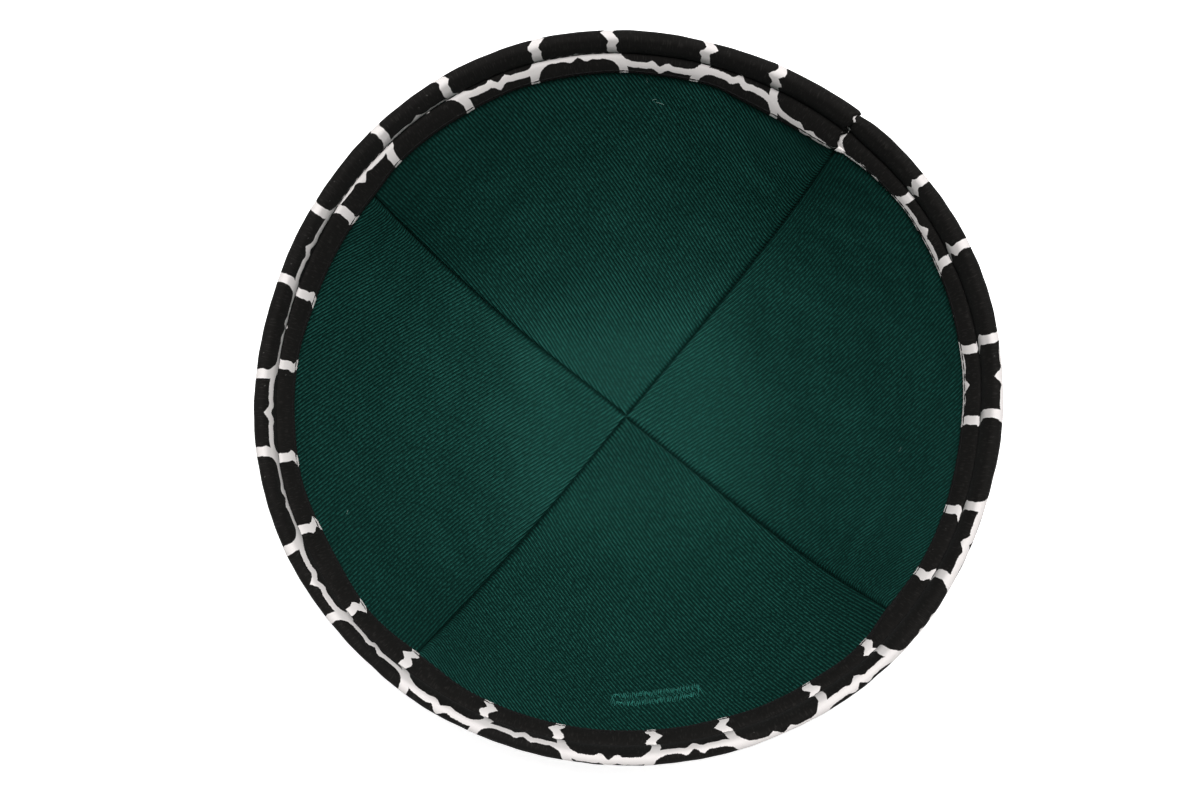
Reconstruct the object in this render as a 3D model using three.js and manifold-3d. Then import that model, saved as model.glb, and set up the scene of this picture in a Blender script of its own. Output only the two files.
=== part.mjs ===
// A four-panel cloth skullcap, lying on its crown with its hollow up.
// Millimetres, +Z up. The origin is under the crown, on the surface that the cap lies on.
// The middles of the four panels point along +X, +Y, -X and -Y, and the seams lie between them.

import * as THREE from "three";
import { mergeVertices } from "three/addons/utils/BufferGeometryUtils.js";
import Module from "manifold-3d";

// The mouth is the line on the lining's face that the lower edge of the binding follows.
const MOUTH_LENGTH = 155.6; // across the mouth, along X
const MOUTH_WIDTH = 153.8; // across the mouth, along Y
const DEPTH = 51.0; // from the lining at the crown up to the mouth

// The lining's line in the middle of a panel, from the crown to the mouth.
const CROWN_FLAT = 28; // side of the square patch that the cap lies on
const CROWN_REACH = 24; // how far past the patch the wall is held towards level
const RIM_REACH = 20.5; // how far below the mouth the wall is held towards straight
const RIM_SLOPE = 54; // the wall's angle to the table at the mouth, in degrees

// Flat cloth panels make a square section at the crown, which turns round towards the rim.
const PANELS = 4;
const SQUARENESS = 1.0; // at the crown: 1 is a sharp square, 0 a circle
const SQUARE_FADE = 1.5; // how fast the square turns round on the way up

// Cloth layers, from the inside out.
const LINING_THICKNESS = 1.0;
const LAYER_GAP = 0.3;
const SHELL_THICKNESS = 1.2;
const SEAM_GAP = 0.3; // between neighbouring panels

// The binding is one strip folded over the edge: a flat inner band, a groove, a roll and an outer band.
const BINDING_THICKNESS = 1.0;
const BINDING_GAP = 0.35; // between the strip and the wall it wraps
const INNER_BAND = 6.3; // from the strip's inner edge up to the groove
const GROOVE_WIDTH = 0.9;
const GROOVE_DEPTH = 0.5;
const ROLL_LEAN = 18; // how much steeper than the wall the roll stands, in degrees
const ROLL_RISE = 5.2; // from the groove up to where the roll turns over
const ROLL_THICKNESS = 2.9;
const OUTER_BAND = 4.0; // from the groove down to the strip's outer edge
const EDGE_ROUND = 0.45; // rounding of the strip's folded edges

// The strip's ends lap over each other at one seam.
const LAP_AT = 45.4; // degrees from +X
const LAP_STEP = 0.5; // how much the upper end stands out
const LAP_LENGTH = 14; // how far round the rim that height fades away
const SEAM_DIP = 2.0; // how much lower the inner band reaches where it crosses a panel seam
const SEAM_DIP_HALF = 7; // half the width of that dip, in degrees round the rim

// A bound slot for a hair clip, cut through the lining of the front panel.
const SLOT_PANEL = 4;
const SLOT_DROP = 13.1; // from the mouth down to the slot
const SLOT_LENGTH = 17;
const SLOT_WIDTH = 0.6;

// Steps of the meshes.
const ROWS = 11;
const COLUMNS = 12;
const RING_STEPS_PER_PANEL = 16;
const FOLD_STEPS = 6;
const CORNER_STEPS = 2;

const LINING_COLOUR = 0x0f3b30;
const PRINT_COLOUR = 0x191918;

const radians = THREE.MathUtils.degToRad;
const clamp = THREE.MathUtils.clamp;

const WALL = LINING_THICKNESS + LAYER_GAP + SHELL_THICKNESS;
const PANEL_ANGLE = (2 * Math.PI) / PANELS;
const MOUTH_RADIUS = MOUTH_LENGTH / 2;
const OVAL = MOUTH_WIDTH / MOUTH_LENGTH;

// The panels end in a round pocket inside the binding. It keeps the strip's thickness under the groove.
const POCKET_HALF = WALL / 2 + BINDING_GAP;
const POCKET_COVER = POCKET_HALF + BINDING_THICKNESS;
const WALL_ABOVE_MOUTH = INNER_BAND - Math.sqrt(POCKET_COVER ** 2 - (POCKET_COVER - GROOVE_DEPTH) ** 2);

// The wall's curve from the edge of the crown patch to the mouth, as distance from the axis and height.
const slope = new THREE.Vector2(Math.cos(radians(RIM_SLOPE)), Math.sin(radians(RIM_SLOPE)));
const mouth = new THREE.Vector2(MOUTH_RADIUS, DEPTH);
const wallCurve = new THREE.CubicBezierCurve(
  new THREE.Vector2(CROWN_FLAT / 2, 0),
  new THREE.Vector2(CROWN_FLAT / 2 + CROWN_REACH, 0),
  mouth.clone().addScaledVector(slope, -RIM_REACH),
  mouth,
);
const WALL_LENGTH = wallCurve.getLength();

// The middle line of a panel's lining at s millimetres above the mouth, or below it where s is negative.
function wallLine(s) {
  if (s > 0) return { point: mouth.clone().addScaledVector(slope, s), along: slope };
  if (s > -WALL_LENGTH) {
    const share = 1 + s / WALL_LENGTH;
    return { point: wallCurve.getPointAt(share), along: wallCurve.getTangentAt(share) };
  }
  return {
    point: new THREE.Vector2(Math.max(CROWN_FLAT / 2 + s + WALL_LENGTH, 0), 0),
    along: new THREE.Vector2(1, 0),
  };
}

// The angle from the middle of the panel that holds an angle, from -PANEL_ANGLE / 2 to PANEL_ANGLE / 2.
function fromPanelMiddle(angle) {
  return angle - PANEL_ANGLE * Math.round(angle / PANEL_ANGLE);
}

// Distance from the axis, in the mouth's long direction, of the point s above the mouth and
// out millimetres outside the lining's face.
function wallRadius(s, out, angle, offMiddle = fromPanelMiddle(angle)) {
  const { point, along } = wallLine(s);
  const height = clamp(point.y / DEPTH, 0, 1);
  const square = SQUARENESS * (1 - height) ** SQUARE_FADE;
  const middle = point.x + out * along.y;
  return middle * (1 - square + square / Math.cos(offMiddle));
}

// The same point in space.
function wallPoint(s, out, angle, offMiddle) {
  const { point, along } = wallLine(s);
  const radius = wallRadius(s, out, angle, offMiddle);
  return new THREE.Vector3(
    radius * Math.cos(angle),
    radius * Math.sin(angle) * OVAL,
    WALL + point.y - out * along.x,
  );
}

// A closed mesh from a list of points and triangles given as corner numbers.
function closedGeometry(points, triangles) {
  const geometry = new THREE.BufferGeometry();
  geometry.setAttribute(
    "position",
    new THREE.Float32BufferAttribute(points.flatMap((p) => [p.x, p.y, p.z]), 3),
  );
  geometry.setIndex(triangles.flat());
  return geometry;
}

// One cloth panel between two offsets from the lining's face. Its sides stand half a seam gap off the seams.
function panelGeometry(number, inside, outside) {
  const middle = (number - 1) * PANEL_ANGLE;
  const tipRadius = SEAM_GAP / 2 / Math.sin(PANEL_ANGLE / 2);
  const bottom = -WALL_LENGTH - CROWN_FLAT / 2 + tipRadius;
  const rowAt = (row) => -WALL_LENGTH + ((WALL_LENGTH + WALL_ABOVE_MOUTH) * row) / (ROWS - 1);
  const layer = (out) => {
    const points = [wallPoint(bottom, out, middle, 0)];
    for (let row = 0; row < ROWS; row++) {
      const s = rowAt(row);
      const edgeRadius = wallRadius(s, out, middle, PANEL_ANGLE / 2);
      const reach = PANEL_ANGLE / 2 - Math.asin(SEAM_GAP / 2 / edgeRadius);
      for (let column = 0; column <= COLUMNS; column++) {
        const off = reach * ((2 * column) / COLUMNS - 1);
        points.push(wallPoint(s, out, middle + off, off));
      }
    }
    return points;
  };
  const inner = layer(inside);
  const outer = layer(outside);
  const at = (row, column) => 1 + row * (COLUMNS + 1) + column;
  const shift = inner.length;
  const triangles = [];
  const face = (a, b, c) => {
    triangles.push([a, b, c], [shift + a, shift + c, shift + b]);
  };
  for (let column = 0; column < COLUMNS; column++) {
    face(0, at(0, column), at(0, column + 1));
    for (let row = 0; row < ROWS - 1; row++) {
      face(at(row, column), at(row + 1, column), at(row + 1, column + 1));
      face(at(row, column), at(row + 1, column + 1), at(row, column + 1));
    }
  }
  // The way round the panel's edge, against the clock seen from inside the cap.
  const edge = [0];
  for (let row = 0; row < ROWS; row++) edge.push(at(row, 0));
  for (let column = 1; column <= COLUMNS; column++) edge.push(at(ROWS - 1, column));
  for (let row = ROWS - 2; row >= 0; row--) edge.push(at(row, COLUMNS));
  edge.forEach((a, i) => {
    const b = edge[(i + 1) % edge.length];
    triangles.push([b, a, shift + a], [b, shift + a, shift + b]);
  });
  return closedGeometry([...inner, ...outer], triangles);
}

// The binding's section: x runs up the wall from the mouth, y out from the lining's face.
// skin is its outside, from the inner edge over the roll to the outer edge, and pocket wraps the wall.
function bindingSection() {
  const innerBack = -BINDING_GAP;
  const innerFace = innerBack - BINDING_THICKNESS;
  const outerBack = WALL + BINDING_GAP;
  const outerFace = outerBack + BINDING_THICKNESS;
  const outerEdge = INNER_BAND - OUTER_BAND;

  const lean = radians(ROLL_LEAN);
  const up = new THREE.Vector2(Math.cos(lean), -Math.sin(lean));
  const across = new THREE.Vector2(Math.sin(lean), Math.cos(lean));
  const rollHalf = ROLL_THICKNESS / 2;
  const grooveFoot = new THREE.Vector2(INNER_BAND, innerFace + GROOVE_DEPTH);
  const rollFoot = new THREE.Vector2(INNER_BAND + GROOVE_WIDTH / 2, innerFace);
  const shoulder = rollFoot.clone().addScaledVector(up, ROLL_RISE);
  const centre = shoulder.clone().addScaledVector(across, rollHalf);

  // The roll's outside runs straight down to the knee, where the outer band begins.
  const knee = new THREE.Vector2(INNER_BAND, outerFace);
  const toCentre = centre.clone().sub(knee);
  const outsideLine = toCentre.angle() + Math.asin(rollHalf / toCentre.length());
  const foldEnd = outsideLine + Math.PI / 2;
  const foldStart = lean + Math.PI / 2;
  const kneeAbove = new THREE.Vector2(Math.cos(outsideLine), Math.sin(outsideLine))
    .multiplyScalar(ROLL_THICKNESS)
    .add(knee);

  const innerEdge = new THREE.QuadraticBezierCurve(
    new THREE.Vector2(0, innerBack),
    new THREE.Vector2(0, innerFace),
    new THREE.Vector2(EDGE_ROUND, innerFace),
  );
  const rollFace = new THREE.QuadraticBezierCurve(grooveFoot, rollFoot, shoulder);
  const fold = new THREE.EllipseCurve(
    centre.x,
    centre.y,
    rollHalf,
    rollHalf,
    -foldStart,
    foldEnd - 2 * Math.PI,
  );
  const kneeRound = new THREE.QuadraticBezierCurve(
    kneeAbove,
    knee,
    new THREE.Vector2(INNER_BAND - EDGE_ROUND, outerFace),
  );
  const outerEdgeRound = new THREE.QuadraticBezierCurve(
    new THREE.Vector2(outerEdge + EDGE_ROUND, outerFace),
    new THREE.Vector2(outerEdge, outerFace),
    new THREE.Vector2(outerEdge, outerBack),
  );
  const pocket = new THREE.EllipseCurve(
    WALL_ABOVE_MOUTH,
    WALL / 2,
    POCKET_HALF,
    POCKET_HALF,
    Math.PI / 2,
    -Math.PI / 2,
    true,
  );
  return {
    skin: [
      ...innerEdge.getPoints(CORNER_STEPS),
      new THREE.Vector2(INNER_BAND - GROOVE_WIDTH / 2, innerFace),
      ...rollFace.getPoints(CORNER_STEPS + 1),
      ...fold.getPoints(FOLD_STEPS).slice(1),
      ...kneeRound.getPoints(CORNER_STEPS),
      ...outerEdgeRound.getPoints(CORNER_STEPS),
    ],
    pocket: pocket.getPoints(FOLD_STEPS),
  };
}

// The direction straight out of a line of points at one of them.
function outOfLine(points, k) {
  const before = points[Math.max(k - 1, 0)];
  const after = points[Math.min(k + 1, points.length - 1)];
  const along = after.clone().sub(before).normalize();
  return new THREE.Vector2(along.y, -along.x);
}

// The binding as a ring: its section is set down at each step round the rim, from the lap and back to it.
function bindingGeometry() {
  const { skin, pocket } = bindingSection();
  const lapAt = radians(LAP_AT);
  const steps = PANELS * RING_STEPS_PER_PANEL;
  const angles = [];
  for (let step = 0; step < steps; step++) {
    angles.push(lapAt + (2 * Math.PI * step) / steps);
  }
  angles.push(lapAt + 2 * Math.PI - SEAM_GAP / MOUTH_RADIUS);

  const points = angles.flatMap((angle) => {
    const travelled = (angle - lapAt) * MOUTH_RADIUS;
    const lap = LAP_STEP * Math.exp(-travelled / LAP_LENGTH);
    const seamOff = PANEL_ANGLE / 2 - Math.abs(fromPanelMiddle(angle));
    const dip = SEAM_DIP * Math.exp(-((seamOff / radians(SEAM_DIP_HALF)) ** 2));
    const ring = skin.map((point, k) => {
      const edgeShare = point.y < 0 ? clamp(1 - point.x / INNER_BAND, 0, 1) : 0;
      const moved = point.clone().addScaledVector(outOfLine(skin, k), k === 0 ? 0 : lap);
      return wallPoint(moved.x - dip * edgeShare, moved.y, angle);
    });
    return [...ring, ...pocket.map(({ x, y }) => wallPoint(x, y, angle))];
  });

  const n = skin.length + pocket.length;
  const rings = angles.length;
  const triangles = [];
  for (let ring = 0; ring < rings; ring++) {
    for (let k = 0; k < n; k++) {
      const a = ring * n + k;
      const b = ring * n + ((k + 1) % n);
      const c = ((ring + 1) % rings) * n + k;
      const d = ((ring + 1) % rings) * n + ((k + 1) % n);
      triangles.push([a, b, c], [b, d, c]);
    }
  }
  return closedGeometry(points, triangles);
}

const wasm = await Module();
wasm.setup();

// A closed geometry as a solid for cutting.
function solidFrom(geometry) {
  const bare = geometry.clone();
  bare.deleteAttribute("normal");
  bare.deleteAttribute("uv");
  const merged = mergeVertices(bare, 1e-4);
  return new wasm.Manifold(
    new wasm.Mesh({
      numProp: 3,
      vertProperties: new Float32Array(merged.attributes.position.array),
      triVerts: new Uint32Array(merged.index.array),
    }),
  );
}

// The cut solid as a geometry again.
function geometryFrom(solid) {
  const { vertProperties, triVerts } = solid.getMesh();
  const geometry = new THREE.BufferGeometry();
  geometry.setAttribute("position", new THREE.BufferAttribute(new Float32Array(vertProperties), 3));
  geometry.setIndex(new THREE.BufferAttribute(new Uint32Array(triVerts), 1));
  return geometry;
}

// The lining panel with the clip slot cut square through it, across the panel's middle line.
function cutClipSlot(geometry, number) {
  const angle = (number - 1) * PANEL_ANGLE;
  const through = 4 * LINING_THICKNESS;
  const blade = new THREE.BoxGeometry(SLOT_WIDTH, SLOT_LENGTH, through);
  const face = wallPoint(-SLOT_DROP, 0, angle);
  const back = wallPoint(-SLOT_DROP, LINING_THICKNESS, angle);
  const outward = back.clone().sub(face).normalize();
  const across = new THREE.Vector3(-Math.sin(angle), Math.cos(angle), 0);
  const upWall = across.clone().cross(outward);
  const place = new THREE.Matrix4().makeBasis(upWall, across, outward);
  place.setPosition(face.add(back).multiplyScalar(0.5));
  blade.applyMatrix4(place);
  return geometryFrom(solidFrom(geometry).subtract(solidFrom(blade)));
}

function clothMaterial(colour, roughness) {
  return new THREE.MeshStandardMaterial({ color: colour, roughness, metalness: 0 });
}

function addMesh(group, name, geometry, material) {
  const mesh = new THREE.Mesh(geometry, material);
  mesh.name = name;
  mesh.geometry.computeVertexNormals();
  group.add(mesh);
}

const skullcap = new THREE.Group();
skullcap.name = "skullcap";
const lining = new THREE.Group();
const shell = new THREE.Group();
skullcap.add(lining, shell);

const liningCloth = clothMaterial(LINING_COLOUR, 0.55);
const printedCloth = clothMaterial(PRINT_COLOUR, 0.85);

for (let number = 1; number <= PANELS; number++) {
  const cloth = panelGeometry(number, 0, LINING_THICKNESS);
  const cut = number === SLOT_PANEL ? cutClipSlot(cloth, number) : cloth;
  addMesh(lining, `lining_panel_${number}`, cut, liningCloth);
  const cover = panelGeometry(number, LINING_THICKNESS + LAYER_GAP, WALL);
  addMesh(shell, `shell_panel_${number}`, cover, printedCloth);
}
addMesh(skullcap, "rim_binding", bindingGeometry(), printedCloth);

export default skullcap;
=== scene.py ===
"""A four-panel cloth skullcap, lying on its crown, dressed around its fixed frame.

Lengths are in millimetres up to the moment a mesh is written, which is in metres, +Z up.
Angles round the cap are in degrees from +X, against the clock seen from above.
"""

import logging
import math
from collections.abc import Callable, Mapping, Sequence
from dataclasses import dataclass
from enum import Enum
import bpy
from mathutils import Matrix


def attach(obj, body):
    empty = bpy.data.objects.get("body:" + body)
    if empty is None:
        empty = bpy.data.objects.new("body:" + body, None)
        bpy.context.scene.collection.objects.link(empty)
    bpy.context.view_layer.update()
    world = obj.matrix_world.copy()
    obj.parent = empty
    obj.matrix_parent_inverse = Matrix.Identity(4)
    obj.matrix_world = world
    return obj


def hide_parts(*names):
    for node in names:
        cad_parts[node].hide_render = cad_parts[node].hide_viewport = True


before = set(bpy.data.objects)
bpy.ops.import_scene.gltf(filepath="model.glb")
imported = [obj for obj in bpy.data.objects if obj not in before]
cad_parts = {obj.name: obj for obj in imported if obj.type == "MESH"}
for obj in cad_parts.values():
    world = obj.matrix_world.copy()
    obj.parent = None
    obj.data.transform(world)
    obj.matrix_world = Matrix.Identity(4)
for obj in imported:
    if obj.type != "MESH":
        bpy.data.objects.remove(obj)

from types import MappingProxyType

import bpy
import numpy as np
from mathutils import Matrix, Vector

MM = 0.001
PANELS = 4
PANEL_ANGLE = 360 / PANELS
HALF_PANEL = math.sin(math.radians(PANEL_ANGLE / 2))
Array = np.ndarray
Colour = tuple[float, float, float]
Table = tuple[tuple[float, float], ...]
Layer = Callable[[Array, Array], Array]
Piece = bpy.types.Object
Material = bpy.types.Material
Socket = bpy.types.NodeSocket

log = logging.getLogger("skullcap")
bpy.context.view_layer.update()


class Slot(Enum):
    """The record's material slots."""

    LINING = "lining_twill"
    TRELLIS = "trellis_cloth"


class Side(Enum):
    """The face of a cloth panel that shows."""

    INSIDE = -1
    OUTSIDE = 1


def linear(red: int, green: int, blue: int) -> Colour:
    """A screen colour of 0 to 255 a channel as linear light."""
    return tuple(
        c / 12.92 if c <= 0.04045 else ((c + 0.055) / 1.055) ** 2.4
        for c in (red / 255, green / 255, blue / 255)
    )


def shade(colour: Colour, by: float) -> Colour:
    """A colour made so many times as light, up to white."""
    return tuple(min(1.0, by * c) for c in colour)


def smooth(x: Array, low: float, high: float) -> Array:
    """A soft step from 0 at low to 1 at high."""
    t = np.clip((x - low) / (high - low), 0, 1)
    return t * t * (3 - 2 * t)


def bump(x: Array, width: float) -> Array:
    """A bell of height 1 that is width wide at about a third of its height."""
    return np.exp(-((x / width) ** 2))


def round_table(pairs: Table, angle: Array, blur: float = 1.5) -> Array:
    """A value given at angles round the cap, read between them and softened.

    Args:
        pairs: angles in degrees, each with its value.
        angle: where to read it.
        blur: how far each side it is averaged, in degrees.

    Returns:
        The value at each angle.
    """
    at, value = np.array(pairs).T
    parts = [np.interp(angle + off, at, value, period=360) for off in (-blur, -blur / 2, 0, blur / 2, blur)]
    return sum(parts) / len(parts)


def drift(x: Array, y: Array, size: float, seed: int, waves: int = 7) -> Array:
    """Smooth, uneven height between about -1 and 1.

    Args:
        x: place along the cloth.
        y: place across it.
        size: the length of the usual wave.
        seed: picks the waves.
        waves: how many are added up.

    Returns:
        The height at each place.
    """
    rng = np.random.default_rng(seed)
    total = np.zeros(np.broadcast(x, y).shape)
    for _ in range(waves):
        way = rng.uniform(0, 2 * math.pi)
        length = size * rng.uniform(0.7, 1.6)
        phase = rng.uniform(0, 2 * math.pi)
        total += np.sin(2 * math.pi * (x * math.cos(way) + y * math.sin(way)) / length + phase)
    return total / math.sqrt(2 * waves)


@dataclass(frozen=True)
class CapForm:
    """The shape that every layer follows: the line of the lining's face and how square it is.

    A place on the wall is given by how far it lies above the mouth along the wall, how far
    outside the lining's face it is, and its angle round the cap.

    Attributes:
        mouth_length: the mouth's size along X, inside the lining.
        mouth_width: the same along Y.
        depth: from the mouth down to the crown's inside.
        crown_flat: how wide the crown lies flat.
        crown_reach: how strongly the wall's curve leaves the crown level.
        rim_reach: how strongly it meets the mouth at its slope.
        rim_slope: the wall's slope at the mouth, in degrees.
        squareness: how square the cap is at the crown, from 0 to 1.
        square_fade: how fast that is gone towards the mouth.
        wall: both layers of cloth together.
        out_of_round: how far the sewn rim stands outside its true oval, at angles round the cap.
        out_of_round_blur: how far each side that is averaged, in degrees.
    """

    mouth_length: float = 155.6
    mouth_width: float = 153.8
    depth: float = 51.0
    crown_flat: float = 28.0
    crown_reach: float = 24.0
    rim_reach: float = 20.5
    rim_slope: float = 54.0
    squareness: float = 1.0
    square_fade: float = 1.5
    wall: float = 2.5
    out_of_round_blur: float = 6.0
    out_of_round: Table = (
        (-6, 0.18), (9, 0.4), (24, 0.06), (39, -0.4), (54, -0.74), (69, -0.72),
        (84, -0.04), (99, 0.57), (114, 0.49), (129, 0.07), (144, -0.48), (159, -0.73),
        (174, -0.13), (189, 0.44), (204, 0.22), (219, -0.06), (234, -0.14), (249, -0.29),
        (264, -0.33), (279, -0.18), (294, 0.1), (309, 0.4), (324, 0.27), (339, -0.04),
    )

    def __post_init__(self) -> None:
        """Walks the wall's curve once, so that points can be found by length."""
        slope = math.radians(self.rim_slope)
        way = np.array([math.cos(slope), math.sin(slope)])
        mouth = np.array([self.mouth_length / 2, self.depth])
        start = np.array([self.crown_flat / 2, 0.0])
        level = start + [self.crown_reach, 0.0]
        steep = mouth - self.rim_reach * way
        t = np.linspace(0, 1, 400)[:, None]
        curve = (
            start * (1 - t) ** 3
            + 3 * level * t * (1 - t) ** 2
            + 3 * steep * t**2 * (1 - t)
            + mouth * t**3
        )
        flat = np.linspace(0, self.crown_flat / 2, 20)[:-1, None] * [1.0, 0.0]
        above = mouth + np.linspace(0.5, 30, 40)[:, None] * way
        path = np.vstack([flat, curve, above])
        length = np.concatenate([[0], np.cumsum(np.linalg.norm(np.diff(path, axis=0), axis=1))])
        at_mouth = length[len(flat) + len(curve) - 1]
        tangent = np.gradient(path, length, axis=0)
        tangent /= np.linalg.norm(tangent, axis=1)[:, None]
        object.__setattr__(self, "_path", path)
        object.__setattr__(self, "_tangent", tangent)
        object.__setattr__(self, "_up", length - at_mouth)

    @property
    def to_crown(self) -> float:
        """The length along the wall from the mouth down to the middle of the crown."""
        return -float(self._up[0])

    @property
    def oval(self) -> float:
        """The mouth's width over its length."""
        return self.mouth_width / self.mouth_length

    def place(self, up: Array, out: Array, angle: Array) -> Array:
        """Points in space.

        Args:
            up: length along the wall above the mouth, below it if negative.
            out: distance outside the lining's face.
            angle: degrees round the cap.

        Returns:
            One x, y, z row for each place, in millimetres.
        """
        up, out, angle = np.broadcast_arrays(up, out, angle)
        r, z = (np.interp(up, self._up, self._path[:, k]) for k in (0, 1))
        along_r, along_z = (np.interp(up, self._up, self._tangent[:, k]) for k in (0, 1))
        turn = np.radians(angle)
        off = np.radians(angle - PANEL_ANGLE * np.round(angle / PANEL_ANGLE))
        height = np.clip(z / self.depth, 0, 1)
        square = self.squareness * (1 - height) ** self.square_fade
        radius = (r + out * along_z) * (1 - square + square / np.cos(off))
        pushed = round_table(self.out_of_round, angle, self.out_of_round_blur)
        radius += pushed * np.clip(z / self.depth, 0, 1.3) ** 1.5
        x = radius * np.cos(turn)
        y = radius * np.sin(turn) * self.oval
        return np.stack([x, y, self.wall + z - out * along_r], axis=-1)


def deselect() -> None:
    """Leaves nothing selected, because an operator acts on all that is."""
    if bpy.context.mode != "OBJECT":
        bpy.ops.object.mode_set(mode="OBJECT")
    bpy.ops.object.select_all(action="DESELECT")


def make_active(piece: Piece) -> None:
    """Selects one piece alone and makes it the active one."""
    deselect()
    piece.select_set(True)
    bpy.context.view_layer.objects.active = piece


def apply_modifiers(piece: Piece) -> None:
    """Applies the piece's modifiers in order."""
    make_active(piece)
    for modifier in list(piece.modifiers):
        bpy.ops.object.modifier_apply(modifier=modifier.name)


def thicken(piece: Piece, thickness: float) -> None:
    """Gives a sheet a wall behind the face that shows, with a closed edge all round.

    Args:
        piece: the sheet.
        thickness: the wall, in millimetres.
    """
    wall = piece.modifiers.new("wall", "SOLIDIFY")
    wall.thickness = thickness * MM
    wall.offset = -1
    wall.use_even_offset = False
    apply_modifiers(piece)


def read(rows: Sequence, key: str, width: int = 1, kind: type = float) -> Array:
    """One property of all of a mesh's vertices, edges or corners.

    Args:
        rows: the mesh's collection.
        key: the property.
        width: how many numbers each has.
        kind: float or int.

    Returns:
        The numbers, in so many columns if there are more than one.
    """
    flat = np.empty(len(rows) * width, dtype=kind)
    rows.foreach_get(key, flat)
    return flat.reshape(-1, width) if width > 1 else flat


def join(pieces: Sequence[Piece], name: str) -> Piece:
    """Joins pieces into the first one, under one name."""
    deselect()
    for piece in pieces:
        piece.select_set(True)
    bpy.context.view_layer.objects.active = pieces[0]
    if len(pieces) > 1:
        bpy.ops.object.join()
    pieces[0].name = pieces[0].data.name = name
    return pieces[0]


def cut_cloth(
    name: str, columns: int, rows: int, lay: Layer
) -> Piece:
    """A flat grid of cloth, laid over its form.

    Args:
        name: the piece's name.
        columns: faces along the cloth's first way.
        rows: faces along its second way.
        lay: takes the two ways as shares from 0 to 1, and gives points in millimetres.

    Returns:
        The piece, one sheet thick, with its face towards the side that the two ways turn round.
    """
    deselect()
    bpy.ops.mesh.primitive_grid_add(x_subdivisions=columns, y_subdivisions=rows, size=2)
    piece = bpy.context.object
    piece.name = piece.data.name = name
    flat = read(piece.data.vertices, "co", 3)
    along, across = (flat[:, 0] + 1) / 2, (flat[:, 1] + 1) / 2
    points = lay(along, across) * MM
    piece.data.vertices.foreach_set("co", points.ravel())
    piece.data.update()
    write_uv(piece, np.stack([along, across], axis=-1))
    return piece


def write_uv(piece: Piece, at: Array) -> None:
    """Sets the piece's UV map from one pair of numbers for each vertex."""
    mesh = piece.data
    layer = mesh.uv_layers[0] if mesh.uv_layers else mesh.uv_layers.new(name="cloth")
    layer.name = "cloth"
    corners = read(mesh.loops, "vertex_index", kind=int)
    layer.data.foreach_set("uv", at[corners].ravel())


def finish_piece(
    piece: Piece,
    material: Material,
    slot: Slot,
    replaced: Sequence[str] = (),
) -> Piece:
    """Dresses a piece and hands it to the frame.

    Args:
        piece: the finished mesh.
        material: its finish.
        slot: the record's slot that the finish stands for; not used.
        replaced: the plain solids that it stands for.

    Returns:
        The same piece.
    """
    piece.data.materials.clear()
    piece.data.materials.append(material)
    make_active(piece)
    bpy.ops.object.shade_smooth()
    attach(piece, "root")
    if replaced:
        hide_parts(*replaced)
    faces = sum(len(p.vertices) - 2 for p in piece.data.polygons)
    log.info("%s: %d triangles", piece.name, faces)
    return piece


class NodeBench:
    """Places and links shader nodes in one tree."""

    def __init__(self, tree: bpy.types.NodeTree) -> None:
        """Takes the tree that the nodes go in."""
        self.tree = tree

    def add(self, kind: str, **settings: object) -> bpy.types.Node:
        """A node of one kind with its settings."""
        node = self.tree.nodes.new(kind)
        for name, value in settings.items():
            setattr(node, name, value)
        return node

    def feed(self, socket: Socket, value: object) -> None:
        """Links another socket into this one, or sets its value."""
        if isinstance(value, Socket):
            self.tree.links.new(value, socket)
        else:
            socket.default_value = value

    def math(self, operation: str, *values: object) -> Socket:
        """The result of one sum on numbers or sockets."""
        node = self.add("ShaderNodeMath", operation=operation)
        for socket, value in zip(node.inputs, values):
            self.feed(socket, value)
        return node.outputs[0]

    def ramp(self, value: object, low: object, high: object) -> Socket:
        """A smooth step of a value from 0 at low to 1 at high."""
        node = self.add("ShaderNodeMapRange", interpolation_type="SMOOTHSTEP")
        self.feed(node.inputs["Value"], value)
        self.feed(node.inputs["From Min"], low)
        self.feed(node.inputs["From Max"], high)
        return node.outputs[0]

    def blend(self, share: object, first: object, second: object) -> Socket:
        """A colour between two others."""
        node = self.add("ShaderNodeMix", data_type="RGBA")
        self.feed(node.inputs[0], share)
        for socket, value in zip(node.inputs[6:8], (first, second)):
            self.feed(socket, (*value, 1) if isinstance(value, tuple) else value)
        return node.outputs[2]

    def noise(self, vector: object, scale: float, detail: float = 2) -> Socket:
        """Smooth noise from 0 to 1."""
        node = self.add("ShaderNodeTexNoise")
        self.feed(node.inputs["Vector"], vector)
        node.inputs["Scale"].default_value = scale
        node.inputs["Detail"].default_value = detail
        return node.outputs["Fac"]

    def stretch(self, vector: object, turn: object, scale: Sequence[float]) -> Socket:
        """A place turned by an angle, in radians, and then stretched along its axes."""
        spin = self.add("ShaderNodeVectorRotate", rotation_type="Z_AXIS")
        self.feed(spin.inputs["Vector"], vector)
        self.feed(spin.inputs["Angle"], turn)
        node = self.add("ShaderNodeVectorMath", operation="MULTIPLY")
        self.feed(node.inputs[0], spin.outputs[0])
        node.inputs[1].default_value = scale
        return node.outputs[0]

    def split(self, vector: object) -> tuple[Socket, Socket]:
        """The first two numbers of a place."""
        node = self.add("ShaderNodeSeparateXYZ")
        self.feed(node.inputs[0], vector)
        return node.outputs[0], node.outputs[1]


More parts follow.
